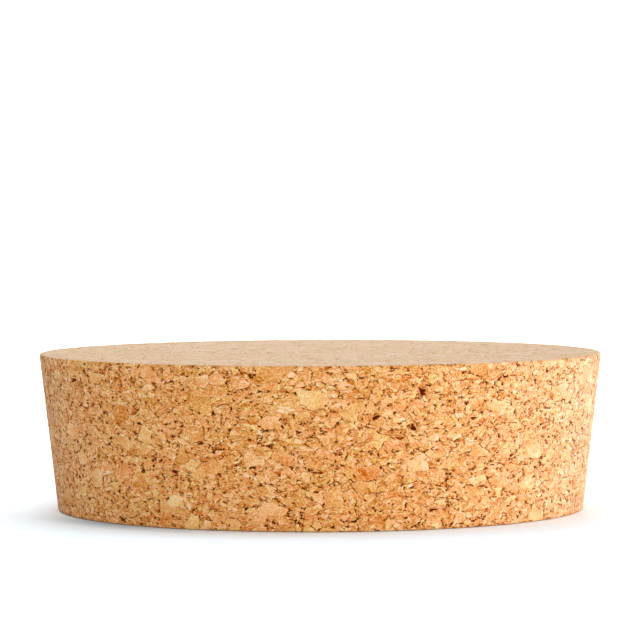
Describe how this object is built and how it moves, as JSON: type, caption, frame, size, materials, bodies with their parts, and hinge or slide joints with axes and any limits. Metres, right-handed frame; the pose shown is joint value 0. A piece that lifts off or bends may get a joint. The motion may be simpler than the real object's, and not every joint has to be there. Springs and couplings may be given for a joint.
{
  "type": "cork stopper",
  "caption": "Wide, low tapered stopper of pressed cork granules that plugs the mouth of a large jar.",
  "frame": {"origin": "middle of the small end's flat face, which the stopper stands on", "axes": "+Z along the stopper's axis, from the small end up to the wide end; it is round, so X and Y are free"},
  "size_m": [0.1079, 0.1078, 0.03],
  "materials": {
    "cork": "matt, dry, fine sanded pressed cork granules with small open pits"
  },
  "bodies": {
    "root": {"stopper": "cork"}
  },
  "joints": []
}
